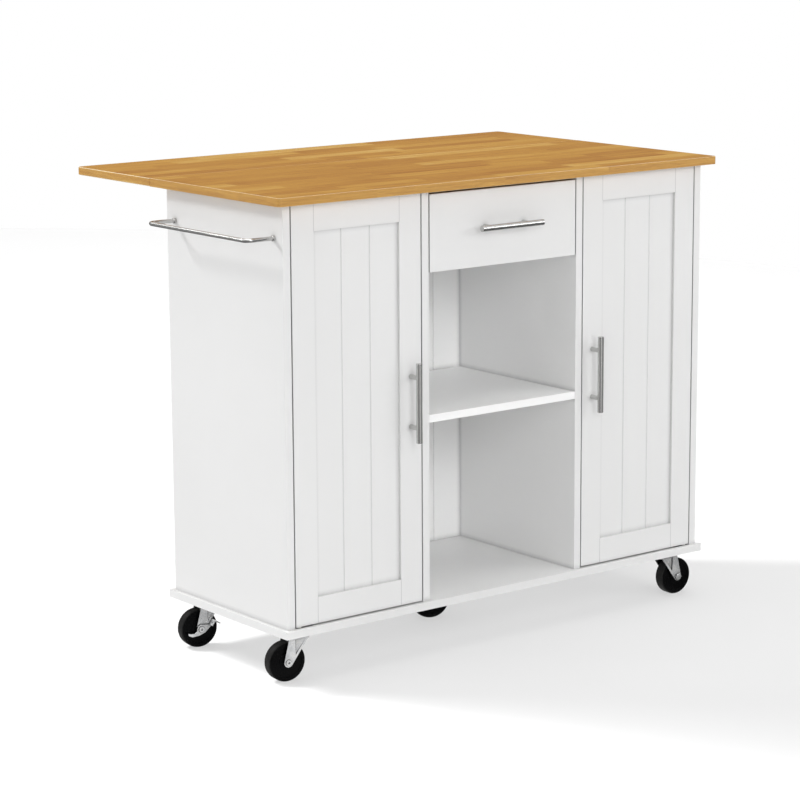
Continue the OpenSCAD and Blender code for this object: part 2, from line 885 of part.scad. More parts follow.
module fork(place, turn) {
    width = 2 * (leg_y + leg_t);
    color(zinc) cart() caster(place, turn) {
        for (side = [0, 1]) mirror([0, side, 0]) translate([0, -leg_y, 0]) fork_leg();
        difference() {
            union() {
                translate([-fork_front, -width / 2, crown_under_z])
                    cube([fork_front + fork_back, width, crown_t]);
                translate([0, 0, crown_z]) cylinder(h = crown_disc_t, r = race_r);
            }
            translate([0, 0, crown_under_z - overlap])
                cylinder(h = crown_t + crown_disc_t + 2 * overlap, r = king_r + axle_fit);
        }
    }
}

// Wheel with a hub, a dished side and a rounded tread
module wheel(place, turn) {
    half = wheel_w / 2;
    bore_r = axle_r + axle_fit;
    hub_r = 12;
    side_step = 1;
    shoulder = 4;
    dish_low = 0.42 * wheel_r;
    dish_high = 0.78 * wheel_r;
    dish_depth = 1.5;
    side_half = half - side_step;
    tread_half = side_half - shoulder;
    color(black) cart() caster(place, turn) translate([-trail, 0, wheel_r]) rotate([90, 0, 0])
        rotate_extrude($fn = 96) difference() {
            union() {
                translate([bore_r, -half]) square([hub_r - bore_r, wheel_w]);
                translate([bore_r, -side_half]) square([wheel_r - shoulder - bore_r, 2 * side_half]);
                translate([bore_r, -tread_half]) square([wheel_r - bore_r, 2 * tread_half]);
                for (side = [-1, 1]) translate([wheel_r - shoulder, side * tread_half]) circle(r = shoulder);
            }
            for (low_y = [side_half - dish_depth, -side_half - dish_depth])
                translate([dish_low, low_y]) square([dish_high - dish_low, 2 * dish_depth]);
        }
}

module axle(place, turn, lever) {
    outer = leg_y + leg_t;
    front = lever ? lever_y + lever_t + lever_air : outer;
    color(steel) cart() caster(place, turn) translate([-trail, 0, wheel_r]) {
        rod_y([0, -front, 0], front + outer, axle_r);
        difference() {
            rod_y([0, -front - axle_head_t, 0], axle_head_t, axle_head_r);
            translate([0, -front - axle_head_t - overlap, 0]) rotate([-90, 0, 0])
                cylinder(h = socket_depth + overlap, r = socket_r, $fn = 6);
        }
        translate([0, outer, 0]) rotate([-90, 0, 0]) cylinder(h = axle_nut_t, r = axle_nut_r, $fn = 6);
    }
}

// Side lever that swings about the axle and locks the wheel: a hooked blade
// whose other end is bent outwards into a peaked foot pad
module brake(place, turn) {
    pad_w = 11;
    blade = [
        [-28, -5], [-22, -7], [-15, -7], [-9, -3], [-2, 9.5], [17, 7.5],
        [22.5, 15], [25, 13], [20, 4], [8, -7], [-4, -12], [-19, -13.5], [-27, -10]
    ];
    pad = [[17, 7.5], [24, 18], [36, 11], [34.8, 9], [24.8, 14.8], [18.8, 6.2]];
    color(zinc) cart() caster(place, turn) translate([-trail, -lever_y, wheel_r]) difference() {
        rotate([90, 0, 0]) {
            linear_extrude(height = lever_t) union() {
                circle(r = lever_hub_r);
                polygon(blade);
            }
            linear_extrude(height = lever_t + pad_w) polygon(pad);
        }
        rod_y([0, -lever_t - overlap, 0], lever_t + 2 * overlap, axle_r + axle_fit);
    }
}

module front_left_fork() {
    fork(front_left_at, front_left_turn);
}

module front_left_wheel() {
    wheel(front_left_at, front_left_turn);
}

module front_left_axle() {
    axle(front_left_at, front_left_turn, false);
}

module front_right_fork() {
    fork(front_right_at, front_right_turn);
}

module front_right_wheel() {
    wheel(front_right_at, front_right_turn);
}

module front_right_axle() {
    axle(front_right_at, front_right_turn, false);
}

module back_left_fork() {
    fork(back_left_at, back_left_turn);
}

module back_left_wheel() {
    wheel(back_left_at, back_left_turn);
}

module back_left_axle() {
    axle(back_left_at, back_left_turn, true);
}

module back_left_brake() {
    brake(back_left_at, back_left_turn);
}

module back_right_fork() {
    fork(back_right_at, back_right_turn);
}

module back_right_wheel() {
    wheel(back_right_at, back_right_turn);
}

module back_right_axle() {
    axle(back_right_at, back_right_turn, true);
}

module back_right_brake() {
    brake(back_right_at, back_right_turn);
}

module centre_fork() {
    fork(centre_at, centre_turn);
}

module centre_wheel() {
    wheel(centre_at, centre_turn);
}

module centre_axle() {
    axle(centre_at, centre_turn, true);
}

module centre_brake() {
    brake(centre_at, centre_turn);
}

base_board();
side_panel_left();
side_panel_right();
divider_left();
divider_right();
back_panel();
centre_shelf();
cabinet_shelf_left();
cabinet_shelf_right();
shelf_pins();
top_rails();
worktop();
leaf_hinge_plates();
brace_wall_brackets();
towel_bar();
towel_bar_screws();
drawer_slide_rails();
magnetic_catches();
door_pivot_plates();
caster_plates();
caster_screws();
drop_leaf();
leaf_hinge_flaps();
brace_leaf_brackets();
brace_lower_links();
brace_upper_links();
left_door_frame();
left_door_panel();
left_door_handle();
left_door_fittings();
right_door_frame();
right_door_panel();
right_door_handle();
right_door_fittings();
drawer_front();
drawer_sides();
drawer_back();
drawer_bottom();
drawer_handle();
drawer_runners();
front_left_fork();
front_left_wheel();
front_left_axle();
front_right_fork();
front_right_wheel();
front_right_axle();
back_left_fork();
back_left_wheel();
back_left_axle();
back_left_brake();
back_right_fork();
back_right_wheel();
back_right_axle();
back_right_brake();
centre_fork();
centre_wheel();
centre_axle();
centre_brake();
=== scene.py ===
import json
import math

import bpy
from mathutils import Matrix, Vector


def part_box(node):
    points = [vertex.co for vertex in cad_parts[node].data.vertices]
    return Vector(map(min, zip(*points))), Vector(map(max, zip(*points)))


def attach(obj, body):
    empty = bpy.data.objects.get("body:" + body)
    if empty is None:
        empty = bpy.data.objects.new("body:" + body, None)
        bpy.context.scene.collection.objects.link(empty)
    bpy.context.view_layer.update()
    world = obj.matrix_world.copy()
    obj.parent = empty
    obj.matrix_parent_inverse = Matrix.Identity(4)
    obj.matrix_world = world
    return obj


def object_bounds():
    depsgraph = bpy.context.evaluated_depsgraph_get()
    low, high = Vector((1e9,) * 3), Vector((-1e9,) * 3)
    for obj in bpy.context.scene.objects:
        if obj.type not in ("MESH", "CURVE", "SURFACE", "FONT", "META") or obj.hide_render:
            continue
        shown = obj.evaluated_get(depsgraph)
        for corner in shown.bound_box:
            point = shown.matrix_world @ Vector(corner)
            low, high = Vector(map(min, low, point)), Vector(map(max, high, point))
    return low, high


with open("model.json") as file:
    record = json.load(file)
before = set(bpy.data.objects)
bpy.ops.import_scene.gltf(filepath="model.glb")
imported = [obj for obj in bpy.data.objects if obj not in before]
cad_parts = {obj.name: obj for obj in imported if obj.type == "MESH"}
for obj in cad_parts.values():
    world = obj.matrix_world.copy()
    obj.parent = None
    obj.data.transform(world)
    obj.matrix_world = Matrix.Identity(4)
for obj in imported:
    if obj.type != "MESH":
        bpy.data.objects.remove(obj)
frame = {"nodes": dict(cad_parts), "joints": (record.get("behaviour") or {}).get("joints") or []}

cad_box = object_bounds()


# ---------------------------------------------------------------- shader helpers

def add(tree, kind, inputs=None, **settings):
    """One shader node. inputs maps a socket's name or number to a value or to the socket that feeds it."""
    made = tree.nodes.new("ShaderNode" + kind)
    for key, value in settings.items():
        setattr(made, key, value)
    for key, value in (inputs or {}).items():
        if isinstance(value, bpy.types.NodeSocket):
            tree.links.new(value, made.inputs[key])
        else:
            made.inputs[key].default_value = value
    return made


def math_node(tree, operation, first, second=0.0, clamp=False):
    return add(tree, "Math", {0: first, 1: second}, operation=operation, use_clamp=clamp).outputs[0]


def vector_node(tree, operation, first, second=(0.0, 0.0, 0.0)):
    made = add(tree, "VectorMath", {0: first, 1: second}, operation=operation)
    return made.outputs["Value"] if operation in ("LENGTH", "DOT_PRODUCT") else made.outputs[0]


def blend_colors(tree, share, first, second, mode="MIX"):
    made = tree.nodes.new("ShaderNodeMix")
    made.data_type = "RGBA"
    made.blend_type = mode
    for socket, value in ((made.inputs[0], share), (made.inputs[6], first), (made.inputs[7], second)):
        if isinstance(value, bpy.types.NodeSocket):
            tree.links.new(value, socket)
        else:
            socket.default_value = value
    return made.outputs[2]


def ramp(tree, value, stops):
    """A colour ramp. stops are (position, colour) with colour a grey level or three numbers."""
    made = add(tree, "ValToRGB", {0: value})
    elements = made.color_ramp.elements
    while len(elements) < len(stops):
        elements.new(0.5)
    for element, (position, color) in zip(elements, stops):
        element.position = position
        rgb = (color,) * 3 if isinstance(color, (int, float)) else color
        element.color = (*rgb, 1.0)
    return made.outputs[0]


def span(tree, value, low, high):
    """Maps 0..1 onto low..high."""
    return add(tree, "MapRange", {"Value": value, "To Min": low, "To Max": high}).outputs[0]


def noise(tree, where, scale, detail=2.0, roughness=0.5, distortion=0.0):
    made = add(tree, "TexNoise", {"Vector": where, "Scale": scale, "Detail": detail,
                                  "Roughness": roughness, "Distortion": distortion})
    return made.outputs[0]


def stretched(tree, where, scale):
    """Coordinates scaled by a different amount along each axis."""
    return vector_node(tree, "MULTIPLY", where, scale)


def bump(tree, height, distance, strength=1.0, normal=None):
    made = add(tree, "Bump", {"Height": height, "Distance": distance, "Strength": strength})
    if normal is not None:
        tree.links.new(normal, made.inputs["Normal"])
    return made.outputs[0]


def new_material(name, **sockets):
    material = bpy.data.materials.new(name)
    material.use_nodes = True
    tree = material.node_tree
    shader = tree.nodes["Principled BSDF"]
    for key, value in sockets.items():
        shader.inputs[key.replace("_", " ")].default_value = value
    return material, tree, shader


def feed(tree, shader, **sockets):
    for key, value in sockets.items():
        tree.links.new(value, shader.inputs[key.replace("_", " ")])


def object_place(tree):
    return add(tree, "TexCoord").outputs["Object"]


FLAT_FACE, ROUNDED_EDGE = 0.985, 0.80      # the largest part of a normal, on a flat face and on a round


def edge_mask(tree):
    """1 on the rounded edges of a board, 0 on its flat faces: where the painted highlights go."""
    normal = add(tree, "TexCoord").outputs["Normal"]
    size = add(tree, "SeparateXYZ", {0: vector_node(tree, "ABSOLUTE", normal)}).outputs
    widest = math_node(tree, "MAXIMUM", math_node(tree, "MAXIMUM", size[0], size[1]), size[2])
    limits = {"Value": widest, "From Min": FLAT_FACE, "From Max": ROUNDED_EDGE}
    return add(tree, "MapRange", limits).outputs[0]


CREVICE_SAMPLES = 6


def crevice(tree, reach):
    """0 in a narrow joint or corner, 1 in the open: ambient occlusion, multiplied into colours as painted
    shade.
    """
    made = add(tree, "AmbientOcclusion", {"Distance": reach}, samples=CREVICE_SAMPLES)
    return made.outputs["AO"]


# ---------------------------------------------------------------- materials

JOINT_HALF_WIDTH = 0.0004      # the hairline joints between a door's rails and stiles
PANEL_TONGUE = 0.006           # a door's panel sits this deep in its frame's grooves
PAINT_WHITE = (0.90, 0.90, 0.897)
JOINT_GREY = (0.52, 0.52, 0.52, 1.0)


def joint_lines(tree, place, inner_low, inner_high):
    """1 on the joints of a door frame, where the rails meet the stiles beside the panel's opening."""
    x, _, z = add(tree, "SeparateXYZ", {0: place}).outputs
    left, right = (math_node(tree, "ABSOLUTE", math_node(tree, "SUBTRACT", x, edge))
                   for edge in (inner_low.x, inner_high.x))
    beside = math_node(tree, "MAXIMUM", math_node(tree, "LESS_THAN", left, JOINT_HALF_WIDTH),
                       math_node(tree, "LESS_THAN", right, JOINT_HALF_WIDTH))
    in_rails = math_node(tree, "MAXIMUM", math_node(tree, "LESS_THAN", z, inner_low.z),
                         math_node(tree, "GREATER_THAN", z, inner_high.z))
    return math_node(tree, "MULTIPLY", beside, in_rails)


def white_paint(name, opening=None):
    """Sprayed satin paint on board: faint orange peel, faint unevenness, edges a touch brighter as painted
    highlight, and painted shade in joints and corners.

    opening is the lowest and highest corner of a door frame's opening, to draw its joints beside."""
    cloud_scale, peel_scale, grit_scale = 2.3, 520.0, 2600.0
    dimmed, edge_highlight_white = (tuple(min(1.0, c * share) for c in PAINT_WHITE) for share in (0.975, 1.05))
    crevice_reach, crevice_shade = 0.010, 0.50
    material, tree, shader = new_material(name, Specular_IOR_Level=0.4)
    place = object_place(tree)
    cloud = noise(tree, place, cloud_scale, 3.0)
    peel = noise(tree, place, peel_scale, 2.0, 0.6)
    grit = noise(tree, place, grit_scale, 1.0)
    base = ramp(tree, cloud, [(0.35, dimmed), (0.65, PAINT_WHITE)])
    # painted highlight: the rounded edges are drawn a touch brighter
    base = blend_colors(tree, edge_mask(tree), base, (*edge_highlight_white, 1.0))
    # painted shade: ambient occlusion darkens the joints, corners and recesses
    shade = span(tree, crevice(tree, crevice_reach), crevice_shade, 1.0)
    base = blend_colors(tree, 1.0, base, shade, "MULTIPLY")
    if opening:
        base = blend_colors(tree, joint_lines(tree, place, *opening), base, JOINT_GREY)
    relief = bump(tree, grit, 0.00003, 0.5, bump(tree, peel, 0.00012, 0.6))
    feed(tree, shader, Base_Color=base, Roughness=span(tree, peel, 0.37, 0.48), Normal=relief)
    return material


STAVE_WIDTH = 0.0425
STAVE_LENGTH = 0.285
WOOD_TONES = [(0.0, (0.40, 0.160, 0.020)), (0.25, (0.49, 0.225, 0.034)), (0.5, (0.565, 0.282, 0.043)),
              (0.75, (0.64, 0.352, 0.068)), (1.0, (0.76, 0.505, 0.165))]
STAVE_TONES = [(0.0, 0.22), (0.80, 0.58), (0.90, 0.76), (1.0, 0.82)]      # one stave in six is pale sapwood
BAND_TONE = 0.50                                  # the edge bands' place among the wood tones
PORE_BROWN = (0.20, 0.095, 0.028, 1.0)
GLUE_BROWN = (0.17, 0.08, 0.025, 1.0)
BAND_PALE = (0.86, 0.60, 0.30, 1.0)
CHAMFER_HIGHLIGHT = (1.0, 0.86, 0.60, 1.0)
ROW_LINE, END_LINE = 0.006, 0.0014                # half widths of glue lines, as shares of a stave
LOOKS_ALONG, SLOPES_FROM = 0.7, 0.25              # parts of a normal: a face along an axis, and a chamfer
# how fast each pattern in the wood changes along and across the grain, per metre
WANDER_SCALE, BLOTCH_SCALE = (3.0, 30.0, 30.0), (5.0, 22.0, 22.0)
COARSE_SCALE, FINE_SCALE, PORE_SCALE = (2.6, 120.0, 120.0), (11.0, 330.0, 330.0), (45.0, 1500.0, 1500.0)
STAVE_SHIFT = (9.0, 9.0, 9.0)                     # how far apart in the wood two staves can be cut, in metres
WANDER_REACH = 5.0                                # how far the coarse grain bends sideways
STREAK_TONE, BLOTCH_TONE, LINE_TONE = 1.15, 0.14, 0.22      # what each pattern adds to or takes from the tone


def staves(tree, axes):
    """The stave that a point is in: its random value and colour, and how far along its row the point lies."""
    row_slide, row_key, unevenness = 7.31, 13.7, 0.9
    row = math_node(tree, "FLOOR", math_node(tree, "DIVIDE", axes[1], STAVE_WIDTH))
    row_chance = add(tree, "TexWhiteNoise", {"W": row}, noise_dimensions="1D").outputs[0]
    slide = math_node(tree, "MULTIPLY", row_chance, row_slide)
    run = math_node(tree, "ADD", math_node(tree, "DIVIDE", axes[0], STAVE_LENGTH), slide)
    seed = math_node(tree, "ADD", run, math_node(tree, "MULTIPLY", row, row_key))
    uneven = add(tree, "TexNoise", {"W": seed, "Scale": 0.9, "Detail": 0.0}, noise_dimensions="1D").outputs[0]
    run = math_node(tree, "ADD", run, math_node(tree, "MULTIPLY", uneven, unevenness))
    key = add(tree, "CombineXYZ", {0: math_node(tree, "FLOOR", run), 1: row, 2: 0.0}).outputs[0]
    chance = add(tree, "TexWhiteNoise", {"Vector": key}, noise_dimensions="3D").outputs
    return chance["Value"], chance["Color"], run


def stave_wood(name):
    """Lacquered finger-jointed staves that run along x, with a plain band of grain on the edges."""
    material, tree, shader = new_material(name, Specular_IOR_Level=0.35)
    place = object_place(tree)
    axes = add(tree, "SeparateXYZ", {0: place}).outputs
    normal = add(tree, "SeparateXYZ", {0: add(tree, "TexCoord").outputs["Normal"]}).outputs
    facing = [math_node(tree, "ABSOLUTE", normal[axis]) for axis in range(3)]
    on_end = math_node(tree, "GREATER_THAN", facing[0], LOOKS_ALONG)
    banded = math_node(tree, "MAXIMUM", on_end, math_node(tree, "GREATER_THAN", facing[1], LOOKS_ALONG))

    # grain: each stave is cut from another place in the wood, and the end bands run along y
    stave_chance, stave_color, run = staves(tree, axes)
    lengthwise = vector_node(tree, "ADD", place, vector_node(tree, "MULTIPLY", stave_color, STAVE_SHIFT))
    turned = add(tree, "CombineXYZ", {0: axes[1], 1: axes[0], 2: axes[2]}).outputs[0]
    grain_place = add(tree, "Mix", {0: on_end, 4: lengthwise, 5: turned}, data_type="VECTOR").outputs[1]
    wander = noise(tree, stretched(tree, grain_place, WANDER_SCALE), 1.0, 2.0)
    drift = math_node(tree, "MULTIPLY", wander, WANDER_REACH)
    sideways = add(tree, "CombineXYZ", {0: 0.0, 1: drift, 2: 0.0}).outputs[0]
    shifted = vector_node(tree, "ADD", stretched(tree, grain_place, COARSE_SCALE), sideways)
    coarse = noise(tree, shifted, 1.0, 4.0, 0.66)
    fine = noise(tree, stretched(tree, grain_place, FINE_SCALE), 1.0, 3.0, 0.7)
    streaks = add(tree, "Mix", {0: 0.50, 2: coarse, 3: fine}, data_type="FLOAT").outputs[0]
    pores = noise(tree, stretched(tree, grain_place, PORE_SCALE), 1.0, 2.0, 0.6)
    blotch = noise(tree, stretched(tree, grain_place, BLOTCH_SCALE), 1.0, 2.0)
    rings = math_node(tree, "PINGPONG", math_node(tree, "MULTIPLY", coarse, 5.0), 0.5)
    grain_line = ramp(tree, rings, [(0.0, 1.0), (0.16, 0.0)])

    # colour
    own_tone = ramp(tree, stave_chance, STAVE_TONES)
    tone = add(tree, "Mix", {0: banded, 2: own_tone, 3: BAND_TONE}, data_type="FLOAT").outputs[0]
    tone = math_node(tree, "ADD", tone, span(tree, streaks, -STREAK_TONE, STREAK_TONE))
    tone = math_node(tree, "ADD", tone, span(tree, blotch, -BLOTCH_TONE, BLOTCH_TONE))
    tone = math_node(tree, "SUBTRACT", tone, math_node(tree, "MULTIPLY", grain_line, LINE_TONE), clamp=True)
    base = ramp(tree, tone, WOOD_TONES)
    pore_share = span(tree, ramp(tree, pores, [(0.30, 1.0), (0.46, 0.0)]), 0.0, 0.30)
    base = blend_colors(tree, pore_share, base, PORE_BROWN)

    # glue lines between the staves, the paler edge bands and a painted highlight on the chamfers that face
    # upward
    across = math_node(tree, "FRACT", math_node(tree, "DIVIDE", axes[1], STAVE_WIDTH))
    row_line = math_node(tree, "LESS_THAN", math_node(tree, "PINGPONG", across, 0.5), ROW_LINE)
    along = math_node(tree, "FRACT", run)
    end_line = math_node(tree, "LESS_THAN", math_node(tree, "PINGPONG", along, 0.5), END_LINE)
    joint = math_node(tree, "MULTIPLY", math_node(tree, "MAXIMUM", row_line, end_line),
                      math_node(tree, "SUBTRACT", 1.0, banded))
    base = blend_colors(tree, math_node(tree, "MULTIPLY", joint, 0.22), base, GLUE_BROWN)
    base = blend_colors(tree, math_node(tree, "MULTIPLY", banded, 0.15), base, BAND_PALE)
    sloping = math_node(tree, "GREATER_THAN", facing[2], SLOPES_FROM)
    # painted highlight: rounded edges that face upward are drawn pale, as if catching the light from above
    chamfer = math_node(tree, "MULTIPLY", edge_mask(tree), math_node(tree, "MULTIPLY", sloping, 0.9))
    base = blend_colors(tree, chamfer, base, CHAMFER_HIGHLIGHT)

    relief = bump(tree, streaks, 0.00006, 0.5, bump(tree, pores, 0.00005, 0.6))
    feed(tree, shader, Base_Color=base, Roughness=span(tree, streaks, 0.36, 0.50), Normal=relief)
    return material


STEEL_DARK, STEEL_LIGHT = (0.504, 0.5022, 0.495), (0.6048, 0.60264, 0.594)


def brushed_steel(name, axis):
    """Satin stainless: fine brush lines round the bar's axis and soft smudges in the gloss."""
    across_scale, along_scale, smudge_scale = 1900.0, 26.0, 34.0
    material, tree, shader = new_material(name, Metallic=1.0, Anisotropic=0.45)
    place = object_place(tree)
    scale = [along_scale if k == axis else across_scale for k in range(3)]
    lines = noise(tree, stretched(tree, place, scale), 1.0, 2.0, 0.6)
    smudge = noise(tree, place, smudge_scale, 2.0)
    base = ramp(tree, lines, [(0.25, STEEL_DARK), (0.75, STEEL_LIGHT)])
    gloss = math_node(tree, "ADD", span(tree, lines, 0.17, 0.29), span(tree, smudge, -0.03, 0.05))
    feed(tree, shader, Base_Color=base, Roughness=gloss, Normal=bump(tree, lines, 0.00003, 0.5))
    return material


ZINC_TONES = [(0.3, (0.66, 0.67, 0.68)), (0.55, (0.79, 0.795, 0.80)), (0.8, (0.80, 0.79, 0.76))]


def zinc_plate(name):
    """Bright zinc on pressed steel: cool and warm clouding, faint roll marks, dull patches, and painted shade
    in its corners and recesses.
    """
    cloud_scale, fleck_scale, crevice_reach = 95.0, 420.0, 0.016
    material, tree, shader = new_material(name, Metallic=1.0)
    place = object_place(tree)
    cloud = noise(tree, place, cloud_scale, 3.0, 0.55)
    flecks = add(tree, "TexVoronoi", {"Vector": place, "Scale": fleck_scale}).outputs["Color"]
    fleck = add(tree, "SeparateXYZ", {0: flecks}).outputs[0]
    roll = noise(tree, stretched(tree, place, (900.0, 900.0, 70.0)), 1.0, 2.0)
    # painted shade: ambient occlusion darkens the corners and the pressed recesses
    occlusion_shade = ramp(tree, crevice(tree, crevice_reach), [(0.55, 0.30), (0.97, 1.0)])
    base = blend_colors(tree, 1.0, ramp(tree, cloud, ZINC_TONES), occlusion_shade, "MULTIPLY")
    gloss = math_node(tree, "ADD", span(tree, cloud, 0.14, 0.26), span(tree, fleck, -0.03, 0.05))
    feed(tree, shader, Base_Color=base, Roughness=gloss, Normal=bump(tree, roll, 0.00003, 0.5))
    return material


WHEEL_SIDE = [(0.3, (0.0012, 0.0012, 0.0014)), (0.8, (0.0035, 0.0035, 0.0037))]
WHEEL_TREAD = [(0.3, (0.012, 0.012, 0.012)), (0.75, (0.030, 0.029, 0.028))]
TREAD_DEPTH, TREAD_BLEND = 0.0022, 0.0012         # how far in the scuffed tread reaches, and its soft edge


def wheel_rubber(name, centre, axis, radius):
    """Moulded black wheel: satin sides with faint turning rings, and a scuffed, greyer tread."""
    scuff_scale, ring_scale = 260.0, 2200.0
    material, tree, shader = new_material(name, Specular_IOR_Level=0.06)
    place = vector_node(tree, "SUBTRACT", object_place(tree), tuple(centre))
    along = vector_node(tree, "DOT_PRODUCT", place, tuple(axis))
    on_axis = add(tree, "VectorMath", {0: tuple(axis), 3: along}, operation="SCALE").outputs[0]
    reach = vector_node(tree, "LENGTH", vector_node(tree, "SUBTRACT", place, on_axis))
    tread_from = radius - TREAD_DEPTH
    tread = add(tree, "MapRange", {"Value": reach, "From Min": tread_from,
                                   "From Max": tread_from + TREAD_BLEND}).outputs[0]
    scuff = noise(tree, place, scuff_scale, 3.0, 0.65)
    rings = add(tree, "TexNoise", {"W": reach, "Scale": ring_scale, "Detail": 1.0},
                noise_dimensions="1D").outputs[0]
    base = blend_colors(tree, tread, ramp(tree, scuff, WHEEL_SIDE), ramp(tree, scuff, WHEEL_TREAD))
    gloss = math_node(tree, "ADD", span(tree, scuff, 0.22, 0.34), math_node(tree, "MULTIPLY", tread, 0.22))
    relief = bump(tree, rings, 0.00004, 0.3, bump(tree, scuff, 0.00003, 0.5))
    feed(tree, shader, Base_Color=base, Roughness=gloss, Normal=relief)
    return material


def moulded_plastic(name, color, roughness):
    """Moulded plastic: fine spark-eroded texture and slight flow marks."""
    grain_scale, flow_scale, uneven_gloss = 1500.0, (20.0, 20.0, 90.0), 0.06
    material, tree, shader = new_material(name, Specular_IOR_Level=0.4)
    place = object_place(tree)
    grain = noise(tree, place, grain_scale, 2.0, 0.6)
    flow = noise(tree, stretched(tree, place, flow_scale), 1.0, 2.0)
    base = ramp(tree, flow, [(0.3, tuple(c * 0.9 for c in color)), (0.7, color)])
    gloss = span(tree, grain, roughness - uneven_gloss, roughness + uneven_gloss)
    feed(tree, shader, Base_Color=base, Roughness=gloss, Normal=bump(tree, grain, 0.00005, 0.6))
    return material


# ---------------------------------------------------------------- finishes on the CAD nodes

# the axis that each bar runs along
HANDLE_AXIS = {"left_door_handle": 2, "right_door_handle": 2, "drawer_handle": 0, "towel_bar": 1}
# how far the sharp edges are rounded in each finish, and on the pieces that need it finer
EDGE_RADIUS = {"white_board": 0.0008, "oak": 0.0018, "brushed_steel": 0.0004, "zinc_steel": 0.0003,
               "black_wheel": 0.0006, "black_plastic": 0.0004, "nylon": 0.0004}
FINE_NODES = {"back_panel": 0.0003, "left_door_panel": 0.0004, "right_door_panel": 0.0004,
              "leaf_hinge_plates": 0.0002, "leaf_hinge_flaps": 0.0002}
MOULDING_BLACK, NYLON_WHITE = (0.03, 0.03, 0.031), (0.78, 0.78, 0.75)

finishes = {
    "white_board": white_paint("satin_white_paint"),
    "oak": stave_wood("lacquered_staves"),
    "zinc_steel": zinc_plate("bright_zinc"),
    "black_plastic": moulded_plastic("black_moulding", MOULDING_BLACK, 0.45),
    "nylon": moulded_plastic("white_nylon", NYLON_WHITE, 0.40),
}
bar_finish = {axis: brushed_steel("brushed_steel_" + "xyz"[axis], axis)
              for axis in sorted(set(HANDLE_AXIS.values()))}
joints = {j["name"]: j for j in frame["joints"]}


def finish_for(name, slot):
    if slot == "brushed_steel":
        return bar_finish[HANDLE_AXIS.get(name, 1)]
    if slot == "black_wheel":
        low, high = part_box(name)
        centre = (low + high) / 2
        axis = Vector(joints[name[:-len("_wheel")] + "_roll"]["axis"])
        return wheel_rubber(name + "_rubber", centre, axis, (high.z - low.z) / 2)
    if name.endswith("_door_frame"):
        low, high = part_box(name.replace("frame", "panel"))
        inset = Vector((PANEL_TONGUE, 0.0, PANEL_TONGUE))
        return white_paint(name + "_paint", opening=(low + inset, high - inset))
    return finishes[slot]


SAME_POINT_DISTANCE = 1e-6


def shade_group():
    """Geometry nodes: joins the imported mesh's split corners and shades it smooth."""
    tree = bpy.data.node_groups.new("join_and_smooth", "GeometryNodeTree")
    tree.interface.new_socket("Geometry", in_out="INPUT", socket_type="NodeSocketGeometry")
    tree.interface.new_socket("Geometry", in_out="OUTPUT", socket_type="NodeSocketGeometry")
    start, end = tree.nodes.new("NodeGroupInput"), tree.nodes.new("NodeGroupOutput")
    drop = tree.nodes.new("GeometryNodeRemoveAttribute")
    drop.inputs["Name"].default_value = "custom_normal"
    join = tree.nodes.new("GeometryNodeMergeByDistance")
    join.inputs["Distance"].default_value = SAME_POINT_DISTANCE
    smooth = tree.nodes.new("GeometryNodeSetShadeSmooth")
    tree.links.new(start.outputs[0], drop.inputs["Geometry"])
    tree.links.new(drop.outputs["Geometry"], join.inputs["Geometry"])
    tree.links.new(join.outputs["Geometry"], smooth.inputs["Geometry"])
    tree.links.new(smooth.outputs["Geometry"], end.inputs[0])
    return tree


SAME_FACE_ANGLE = math.radians(0.3)
SHARP_EDGE_ANGLE = math.radians(38)
FACE_AREA_WEIGHT = 60


def soften(obj, radius):
    """Rounds the sharp edges, so that they catch the light as real ones do."""
    obj.modifiers.new("join", "NODES").node_group = join_and_smooth
    flat = obj.modifiers.new("flat", "DECIMATE")
    flat.decimate_type = "DISSOLVE"
    flat.angle_limit = SAME_FACE_ANGLE
    edge = obj.modifiers.new("edge", "BEVEL")
    edge.width = radius
    edge.segments = 2
    edge.limit_method = "ANGLE"
    edge.angle_limit = SHARP_EDGE_ANGLE
    edge.miter_outer = "MITER_SHARP"
    even = obj.modifiers.new("even", "WEIGHTED_NORMAL")
    even.weight = FACE_AREA_WEIGHT
    even.keep_sharp = False


join_and_smooth = shade_group()
for node_name, node in frame["nodes"].items():
    slot_name = node.data.materials[0].name.split(".")[0]
    finish = finish_for(node_name, slot_name)
    for index in range(len(node.data.materials)):
        node.material_slots[index].link = "OBJECT"
        node.material_slots[index].material = finish
    soften(node, FINE_NODES.get(node_name, EDGE_RADIUS[slot_name]))


# ---------------------------------------------------------------- small screws that the CAD leaves out

HEAD_CORNERS = 24
HEAD_RINGS = [(1.0, -0.15), (1.0, 0.30), (0.90, 0.66), (0.74, 0.88),      # shares of its radius and height
              (0.56, 0.97), (0.42, 1.0), (0.27, 1.0), (0.13, 1.0)]
RECESS_REACH, RECESS_HALF_WIDTH, RECESS_DEPTH = 0.5, 0.14, 0.6
FIRST_TURN, TURN_STEP = 0.7, 1.9                  # screws stop at different turns, in radians
BACK_SCREW = (0.0038, 0.0014)                     # head radius and height
BRACKET_SCREW = (0.0034, 0.0011)
HINGE_SCREW = (0.0030, 0.0007)


